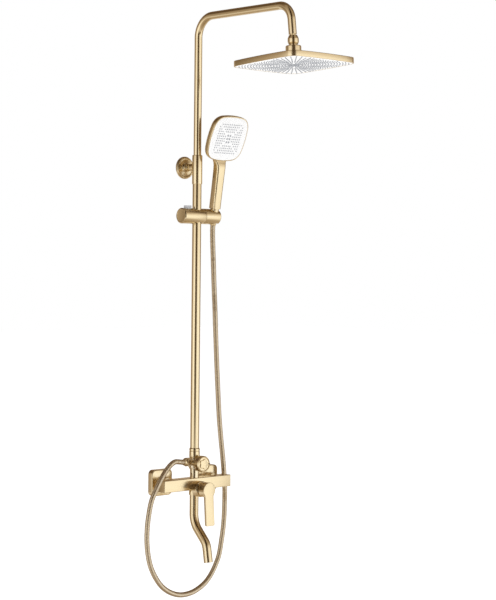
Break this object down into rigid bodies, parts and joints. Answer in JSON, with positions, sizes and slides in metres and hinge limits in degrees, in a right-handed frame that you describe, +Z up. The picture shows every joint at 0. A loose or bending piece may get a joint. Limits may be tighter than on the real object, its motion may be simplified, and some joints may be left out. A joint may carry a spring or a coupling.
{
  "type": "rainfall shower column",
  "caption": "Wall-mounted shower column: lever mixer bar with swivel spout, diverter, telescopic riser, ball-jointed rain head, and a hand shower on a slider with a metal hose.",
  "frame": {"origin": "on the wall plane, midway between the two water inlets", "axes": "+X to the right seen from the room, +Y into the wall, +Z up along the riser"},
  "size_m": [0.2935, 0.5048, 1.429],
  "materials": {
    "brushed_gold": "satin brushed champagne gold plating",
    "gold_plated_plastic": "satin champagne gold plating on moulded plastic",
    "gold_steel_tube": "satin brushed champagne gold plating on steel tube",
    "raw_brass": "machined brass",
    "bright_steel": "bright stainless steel",
    "white_plastic": "smooth white moulded plastic",
    "grey_silicone": "soft grey silicone",
    "grey_plastic": "satin grey moulded plastic",
    "seal_rubber": "black sealing rubber",
    "hose_metal": "champagne gold ribbed metal sleeve over a light inner hose"
  },
  "bodies": {
    "root": {"wall_plate_left": "brushed_gold", "wall_plate_right": "brushed_gold", "union_left": "raw_brass", "union_right": "raw_brass", "union_nuts": "brushed_gold", "inlet_washers": "seal_rubber", "mixer_body": "brushed_gold", "cartridge": "white_plastic", "cartridge_ring": "raw_brass", "spout_o_ring": "seal_rubber", "riser_nipple": "gold_steel_tube", "diverter_body": "brushed_gold", "riser_nut": "brushed_gold", "riser_seal": "seal_rubber", "lower_tube": "gold_steel_tube", "riser_collar": "brushed_gold", "collar_set_screw": "bright_steel", "bracket_base": "bright_steel", "wall_flange": "brushed_gold", "bracket_arm": "brushed_gold", "outlet_hose_nut": "brushed_gold", "hose_loop": "hose_metal", "hose_rise": "hose_metal"},
    "lever_carrier": {"cartridge_turntable": "grey_plastic", "lever_pin": "bright_steel"},
    "lever": {"lever_spindle": "raw_brass", "lever_handle": "brushed_gold", "lever_grub_screw": "bright_steel"},
    "spout": {"spout": "gold_steel_tube", "spout_collar": "brushed_gold", "aerator": "white_plastic"},
    "diverter_knob": {"diverter_core": "raw_brass", "diverter_knob": "brushed_gold", "knob_screw": "bright_steel"},
    "rain_arm": {"upper_tube": "gold_steel_tube", "guide_bush": "white_plastic", "guide_o_rings": "seal_rubber", "ball_nipple": "bright_steel"},
    "ball_cup": {"ball_cup": "white_plastic"},
    "ball_washer": {"ball_washer": "white_plastic"},
    "rain_head": {"ball_nut": "brushed_gold", "head_collar": "brushed_gold", "head_lock_nut": "raw_brass", "head_shell": "gold_plated_plastic", "nozzle_mat": "grey_silicone", "spray_plate": "white_plastic"},
    "slider": {"slider_body": "gold_plated_plastic", "slider_liner": "grey_plastic", "holder_screw": "bright_steel", "button_spring": "bright_steel", "hose_bend": "hose_metal"},
    "release_button": {"release_button": "grey_plastic"},
    "holder": {"holder": "gold_plated_plastic", "hose_top": "hose_metal"},
    "hand_shower": {"hand_shell": "gold_plated_plastic", "hand_nozzle_mat": "grey_silicone", "hand_face": "white_plastic", "hand_cone": "brushed_gold"}
  },
  "joints": [
    {"name": "lever_turn", "type": "hinge", "parent": "root", "child": "lever_carrier", "pos_m": [0, -0.08, -0.016], "axis": [0, 1, 0], "range_deg": [-45, 45]},
    {"name": "lever_lift", "type": "hinge", "parent": "lever_carrier", "child": "lever", "pos_m": [0, -0.0725, -0.016], "axis": [-1, 0, 0], "range_deg": [0, 14]},
    {"name": "spout_swivel", "type": "hinge", "parent": "root", "child": "spout", "pos_m": [0, -0.049, -0.1], "axis": [0, 0, 1], "range_deg": [-80, 80]},
    {"name": "diverter_turn", "type": "hinge", "parent": "root", "child": "diverter_knob", "pos_m": [0, -0.07, 0.046], "axis": [0, 1, 0], "range_deg": [-60, 60]},
    {"name": "arm_height", "type": "slide", "parent": "root", "child": "rain_arm", "axis": [0, 0, 1], "range_m": [-0.2, 0.15]},
    {"name": "head_tilt", "type": "hinge", "parent": "rain_arm", "child": "ball_cup", "pos_m": [0, -0.379, 1.05546], "axis": [1, 0, 0], "range_deg": [-7, 7]},
    {"name": "head_sway", "type": "hinge", "parent": "ball_cup", "child": "ball_washer", "pos_m": [0, -0.379, 1.05546], "axis": [0, 1, 0], "range_deg": [-7, 7]},
    {"name": "head_spin", "type": "hinge", "parent": "ball_washer", "child": "rain_head", "pos_m": [0, -0.379, 1.05546], "axis": [0, 0.0523, 0.9986], "continuous": true},
    {"name": "slider_height", "type": "slide", "parent": "root", "child": "slider", "axis": [0, 0, 1], "range_m": [-0.25, 0.05], "deforming": ["hose_rise"]},
    {"name": "button_press", "type": "slide", "parent": "slider", "child": "release_button", "axis": [0, 0, -1], "range_m": [0, 0.003], "stiffness_N_per_m": 1500, "springref_m": -0.001, "deforming": ["button_spring"]},
    {"name": "holder_tilt", "type": "hinge", "parent": "slider", "child": "holder", "pos_m": [0.02, -0.049, 0.653], "axis": [1, 0, 0], "range_deg": [-5, 20], "deforming": ["hose_bend"]},
    {"name": "hand_lift", "type": "slide", "parent": "holder", "child": "hand_shower", "axis": [0, -0.1564, 0.9877], "range_m": [0, 0.04], "deforming": ["hose_top"]}
  ]
}
